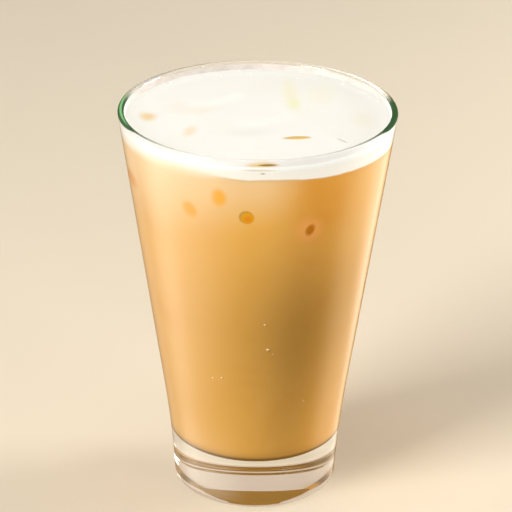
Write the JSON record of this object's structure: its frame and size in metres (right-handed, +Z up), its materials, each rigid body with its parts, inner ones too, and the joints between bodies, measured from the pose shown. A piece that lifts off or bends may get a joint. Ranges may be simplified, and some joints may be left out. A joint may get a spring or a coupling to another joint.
{
  "type": "glass of oolong milk tea",
  "caption": "Tapered clear glass tumbler with a thick base, filled almost to the brim with iced oolong milk tea under a white milk foam with ice cubes.",
  "frame": {"origin": "middle of the glass's foot, on the surface that it stands on", "axes": "+Z up along the glass's axis; the front faces -Y"},
  "size_m": [0.088, 0.088, 0.13],
  "materials": {
    "glass": "polished clear",
    "milk_tea": "opaque liquid, glossy",
    "milk_foam": "fine wet foam",
    "ice": "melting, coated with milk"
  },
  "bodies": {
    "root": {"glass_tumbler": "glass", "milk_tea": "milk_tea", "milk_foam": "milk_foam", "ice_cube_1": "ice", "ice_cube_2": "ice", "ice_cube_3": "ice", "ice_cube_4": "ice", "ice_cube_5": "ice", "ice_cube_6": "ice"}
  },
  "joints": []
}
